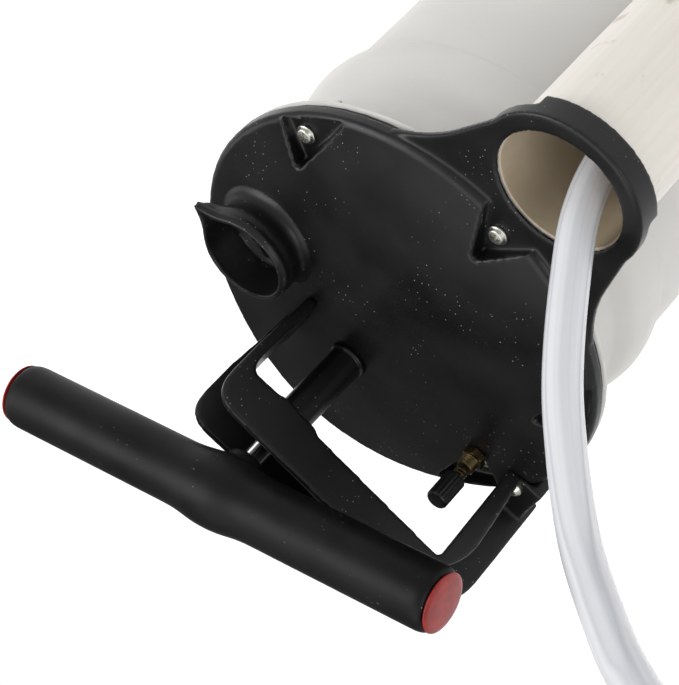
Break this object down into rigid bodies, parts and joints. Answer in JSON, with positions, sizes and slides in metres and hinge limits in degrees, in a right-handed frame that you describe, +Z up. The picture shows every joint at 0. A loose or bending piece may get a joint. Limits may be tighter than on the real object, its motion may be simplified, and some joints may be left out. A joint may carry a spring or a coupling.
{
  "type": "hand fluid extractor",
  "caption": "Hand vacuum fluid extractor: translucent tank, black lid, T-handle piston pump, carry handle, pour spout, relief valve and hose in a side tube.",
  "frame": {"origin": "on the tank axis at the underside of the base", "axes": "+Z up along the tank axis, -Y towards the hose storage tube, +X towards the pour spout"},
  "size_m": [0.2925, 0.4901, 0.5724],
  "materials": {
    "black_plastic": "black moulded polypropylene, satin",
    "tank_plastic": "translucent milky polyethylene",
    "tube_plastic": "cream white PVC pipe",
    "hose_plastic": "translucent bluish white hose",
    "red_plastic": "dark red moulded plastic",
    "white_nylon": "off-white nylon",
    "grey_plastic": "grey plastic tube",
    "black_rubber": "black rubber",
    "zinc": "zinc plated steel",
    "steel": "ground steel",
    "brass": "dull brass"
  },
  "bodies": {
    "tank_body": {"base": "black_plastic", "lid": "black_plastic", "carry_handle": "black_plastic", "guide_tube": "black_plastic", "barrel_head": "black_plastic", "barrel_foot": "black_plastic", "tank": "tank_plastic", "storage_tube": "tube_plastic", "suction_hose": "hose_plastic", "rod_bush": "white_nylon", "flap_stop": "white_nylon", "pump_barrel": "grey_plastic", "lid_gasket": "black_rubber", "rod_wiper": "black_rubber", "barrel_gasket": "black_rubber", "hose_plug": "black_rubber", "lid_screw_1": "zinc", "lid_screw_2": "zinc", "lid_screw_3": "zinc", "lid_screw_4": "zinc", "lid_screw_5": "zinc", "lid_screw_6": "zinc", "handle_screw_left": "zinc", "handle_screw_right": "zinc", "valve_body": "brass", "valve_nut": "brass", "valve_spring": "brass"},
    "piston_set": {"piston": "white_nylon", "piston_seal": "black_rubber"},
    "handle_set": {"pump_rod": "steel", "t_handle": "black_plastic", "grip_pin": "steel", "grip_cap_near": "red_plastic", "grip_cap_far": "red_plastic", "piston_nut": "zinc", "piston_washer": "zinc"},
    "inlet_flap_set": {"inlet_flap": "black_rubber"},
    "valve_set": {"valve_stem": "brass", "valve_disc": "black_rubber", "valve_cap": "black_plastic"}
  },
  "joints": [
    {"name": "pump_stroke", "type": "slide", "parent": "tank_body", "child": "piston_set", "axis": [0, 0, 1], "range_m": [0, 0.218]},
    {"name": "handle_turn", "type": "hinge", "parent": "piston_set", "child": "handle_set", "pos_m": [-0.0057, 0.048, 0.4], "axis": [0, 0, 1], "continuous": true},
    {"name": "inlet_flap_lift", "type": "slide", "parent": "tank_body", "child": "inlet_flap_set", "axis": [0, 0, 1], "range_m": [0, 0.002]},
    {"name": "relief_valve_push", "type": "slide", "parent": "tank_body", "child": "valve_set", "axis": [0, 0, -1], "range_m": [0, 0.003], "deforming": ["valve_spring"]}
  ]
}
